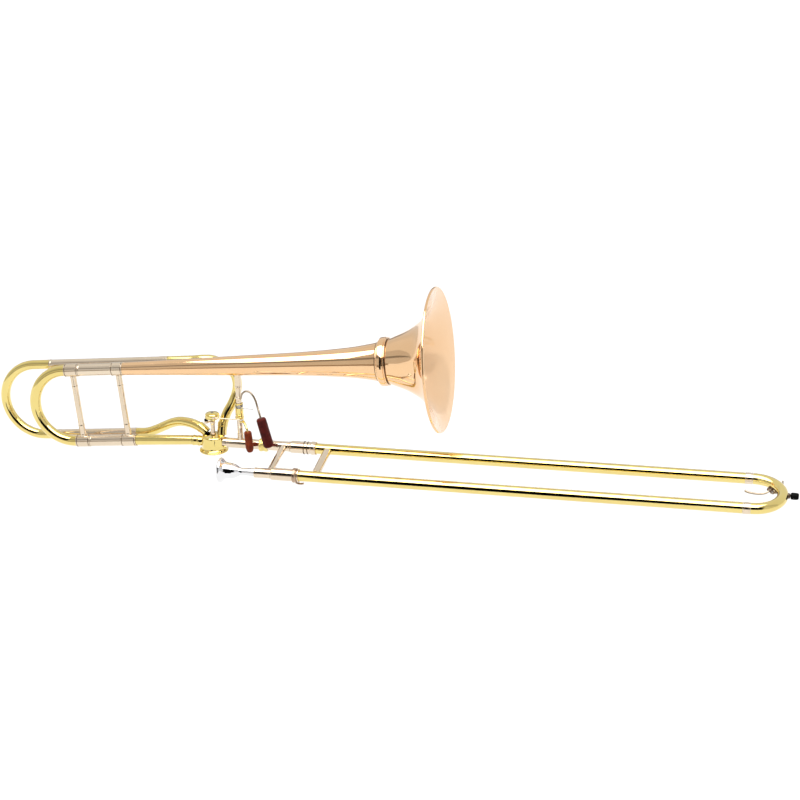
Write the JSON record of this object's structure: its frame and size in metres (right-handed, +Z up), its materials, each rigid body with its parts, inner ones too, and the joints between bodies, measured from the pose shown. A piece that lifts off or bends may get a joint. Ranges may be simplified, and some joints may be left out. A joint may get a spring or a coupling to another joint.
{
  "type": "tenor trombone",
  "caption": "Slide trombone with a flared bell, tuning slides, a rotary valve worked by a thumb trigger, a hand slide with a water key, and a mouthpiece.",
  "frame": {"origin": "middle of the inner slide's brace, where the left hand holds the instrument", "axes": "+X along the hand slide towards its bow, +Z up in the plane of the bell, +Y across, from the mouthpiece's side to the bell's side"},
  "size_m": [1.2426, 0.216, 0.2906],
  "materials": {
    "yellow_brass": "clear-lacquered, glossy",
    "rose_brass": "clear-lacquered, glossy",
    "nickel": "polished nickel silver, lacquered",
    "silver": "silver-plated, polished",
    "steel": "satin",
    "black_rubber": "satin",
    "cork": "natural cork",
    "orange_leather": "smooth, glazed",
    "red_leather": "smooth, glazed"
  },
  "bodies": {
    "horn_body": {"bell_stem": "rose_brass", "bell_flare": "rose_brass", "bell_rim_wire": "steel", "bell_ring": "nickel", "main_sleeve_upper": "nickel", "main_sleeve_lower": "nickel", "stem_ferrule": "nickel", "neckpipe_ferrule": "nickel", "bell_brace": "nickel", "f_sleeve_upper": "nickel", "f_sleeve_lower": "nickel", "f_crook": "yellow_brass", "f_s_bend": "yellow_brass", "neckpipe": "yellow_brass", "valve_casing": "yellow_brass", "valve_cap": "yellow_brass", "valve_bearing": "nickel", "stop_bumper": "black_rubber", "valve_rear_port": "yellow_brass", "receiver": "nickel", "slide_tenon": "nickel", "post": "nickel", "trigger_spring": "steel", "hand_rest_rod": "nickel", "hand_rest_pad": "red_leather", "inner_tube_far": "nickel", "inner_tube_near": "nickel", "leadpipe": "yellow_brass", "cork_barrel_far": "nickel", "cork_barrel_near": "nickel", "inner_brace": "nickel", "mouthpiece_receiver": "nickel"},
    "main_slide": {"main_leg_upper": "nickel", "main_leg_lower": "nickel", "main_bow": "yellow_brass", "main_brace": "nickel"},
    "f_slide": {"f_leg_upper": "nickel", "f_leg_lower": "nickel", "f_bow": "yellow_brass"},
    "rotor": {"valve_rotor": "steel", "stop_drum": "yellow_brass", "stop_screw": "steel"},
    "trigger": {"trigger_lever": "yellow_brass", "trigger_pad": "orange_leather"},
    "link": {"link_rod": "nickel"},
    "lock_nut": {"lock_nut": "yellow_brass"},
    "slide_lock_ring": {"slide_lock_ring": "nickel"},
    "mouthpiece": {"mouthpiece": "silver"},
    "hand_slide": {"outer_tube_far": "yellow_brass", "outer_tube_near": "yellow_brass", "outer_brace": "nickel", "bow_ferrule_far": "nickel", "bow_ferrule_near": "nickel", "slide_bow": "yellow_brass", "bumper_stud": "yellow_brass", "slide_bumper": "black_rubber", "water_key_saddle": "nickel", "water_key_pin": "steel"},
    "water_key": {"water_key": "nickel", "water_key_cork": "cork"}
  },
  "joints": [
    {"name": "hand_slide_travel", "type": "slide", "parent": "horn_body", "child": "hand_slide", "axis": [1, 0, 0], "range_m": [0, 0.6]},
    {"name": "main_tuning_slide", "type": "slide", "parent": "horn_body", "child": "main_slide", "axis": [-0.9961, 0, -0.088], "range_m": [0, 0.06]},
    {"name": "f_tuning_slide", "type": "slide", "parent": "horn_body", "child": "f_slide", "axis": [-0.9961, 0, -0.088], "range_m": [0, 0.07]},
    {"name": "mouthpiece_pull", "type": "slide", "parent": "horn_body", "child": "mouthpiece", "axis": [-1, 0, 0], "range_m": [0, 0.06]},
    {"name": "trigger_turn", "type": "hinge", "parent": "horn_body", "child": "trigger", "pos_m": [-0.0683, 0.04169, 0.05], "axis": [0, 0, 1], "range_deg": [-54, 0], "stiffness_Nm_per_rad": 0.2, "springref_deg": 20.05},
    {"name": "rotor_turn", "type": "hinge", "parent": "horn_body", "child": "rotor", "pos_m": [-0.1123, 0.04169, 0.00512], "axis": [0, 0, 1], "range_deg": [-54, 0]},
    {"name": "link_turn", "type": "hinge", "parent": "trigger", "child": "link", "pos_m": [-0.06172, 0.02877, 0.0491], "axis": [0, 0, 1], "range_deg": [0, 54]},
    {"name": "lock_nut_turn", "type": "hinge", "parent": "horn_body", "child": "lock_nut", "pos_m": [-0.0315, 0.04169, 0.00512], "axis": [1, 0, 0], "continuous": true},
    {"name": "slide_lock_turn", "type": "hinge", "parent": "horn_body", "child": "slide_lock_ring", "pos_m": [0.0408, -0.04169, -0.00512], "axis": [1, 0, 0], "range_deg": [0, 35]},
    {"name": "water_key_turn", "type": "hinge", "parent": "hand_slide", "child": "water_key", "pos_m": [0.72807, 0.02112, -0.00244], "axis": [-0.6561, 0.7491, 0.092], "range_deg": [0, 14], "stiffness_Nm_per_rad": 0.02, "springref_deg": -14.32}
  ],
  "couplings": [
    {"joint": "rotor_turn", "follows": "trigger_turn", "ratio": 1},
    {"joint": "link_turn", "follows": "trigger_turn", "ratio": -1}
  ]
}
